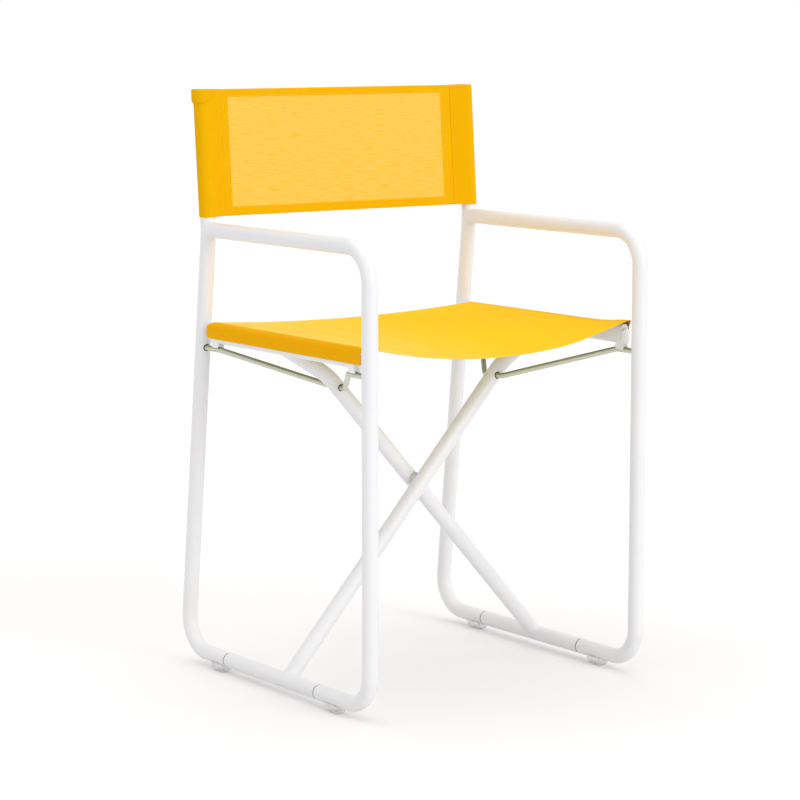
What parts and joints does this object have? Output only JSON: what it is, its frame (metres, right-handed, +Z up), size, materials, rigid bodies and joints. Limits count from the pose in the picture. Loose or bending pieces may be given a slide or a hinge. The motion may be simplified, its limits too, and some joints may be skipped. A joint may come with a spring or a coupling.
{
  "type": "directors chair",
  "caption": "Folding directors chair of bent round tube with crossed legs, wire link rods, and a cloth seat and backrest, for one sitter",
  "frame": {"origin": "on the floor, under the middle of the chair's box", "axes": "+X to the sitter's left hand, which is the right of a viewer in front; the sitter looks towards -Y; +Z up"},
  "size_m": [0.4906, 0.4774, 0.832],
  "materials": {
    "frame_white": "white powder coat, satin",
    "zinc": "yellow zinc plate, satin",
    "nylon": "dark grey nylon",
    "grey_plastic": "grey moulded plastic",
    "white_plastic": "white moulded plastic",
    "clear_plastic": "clear soft plastic",
    "cloth": "yellow woven mesh cloth",
    "cloth_border": "yellow woven mesh cloth, doubled"
  },
  "bodies": {
    "left_frame": {"left_rear_tube": "frame_white", "left_front_tube": "frame_white", "left_inner_tube": "frame_white", "left_post_plug": "grey_plastic", "left_front_glide": "clear_plastic", "left_rear_glide": "clear_plastic", "left_backrest_sleeve": "cloth_border", "backrest_panel": "cloth"},
    "front_leg": {"front_leg": "frame_white", "left_sleeve": "frame_white", "left_front_washer": "nylon", "left_rear_washer": "nylon", "right_seat_rail": "frame_white", "right_front_saddle": "white_plastic", "right_rear_saddle": "white_plastic", "right_seat_sleeve": "cloth_border", "seat_panel": "cloth", "pivot_bolt": "zinc", "pivot_insert": "zinc", "front_saddle_washer": "grey_plastic"},
    "rear_leg": {"rear_leg": "frame_white", "right_sleeve": "frame_white", "right_front_washer": "nylon", "right_rear_washer": "nylon", "left_seat_rail": "frame_white", "left_front_saddle": "white_plastic", "left_rear_saddle": "white_plastic", "left_seat_sleeve": "cloth_border", "rear_saddle_washer": "grey_plastic"},
    "right_frame": {"right_rear_tube": "frame_white", "right_front_tube": "frame_white", "right_inner_tube": "frame_white", "right_post_plug": "grey_plastic", "right_front_glide": "clear_plastic", "right_rear_glide": "clear_plastic", "right_backrest_sleeve": "cloth_border"},
    "left_rod": {"left_link_rod": "zinc"},
    "right_rod": {"right_link_rod": "zinc"}
  },
  "joints": [
    {"name": "fold", "type": "hinge", "parent": "left_frame", "child": "front_leg", "pos_m": [-0.2325, 0.00728, 0.0195], "axis": [0, -1, 0], "range_deg": [0, 28.8], "deforming": ["seat_panel", "backrest_panel"]},
    {"name": "leg_crossing", "type": "hinge", "parent": "front_leg", "child": "rear_leg", "pos_m": [0, -0.01472, 0.278], "axis": [0, -1, 0], "range_deg": [-70, 0]},
    {"name": "right_frame_turn", "type": "hinge", "parent": "rear_leg", "child": "right_frame", "pos_m": [0.2325, 0.00728, 0.0195], "axis": [0, -1, 0], "range_deg": [0, 28.8]},
    {"name": "left_rod_turn", "type": "hinge", "parent": "rear_leg", "child": "left_rod", "pos_m": [-0.1284, -0.00172, 0.42075], "axis": [0, -1, 0], "range_deg": [0, 112.4]},
    {"name": "right_rod_turn", "type": "hinge", "parent": "front_leg", "child": "right_rod", "pos_m": [0.1284, -0.02772, 0.42075], "axis": [0, -1, 0], "range_deg": [-112.4, 0]}
  ],
  "couplings": [
    {"joint": "leg_crossing", "follows": "fold", "ratio": -2.4274},
    {"joint": "right_frame_turn", "follows": "fold", "ratio": 1},
    {"joint": "left_rod_turn", "follows": "fold", "ratio": 3.9002},
    {"joint": "right_rod_turn", "follows": "fold", "ratio": -3.9002}
  ]
}
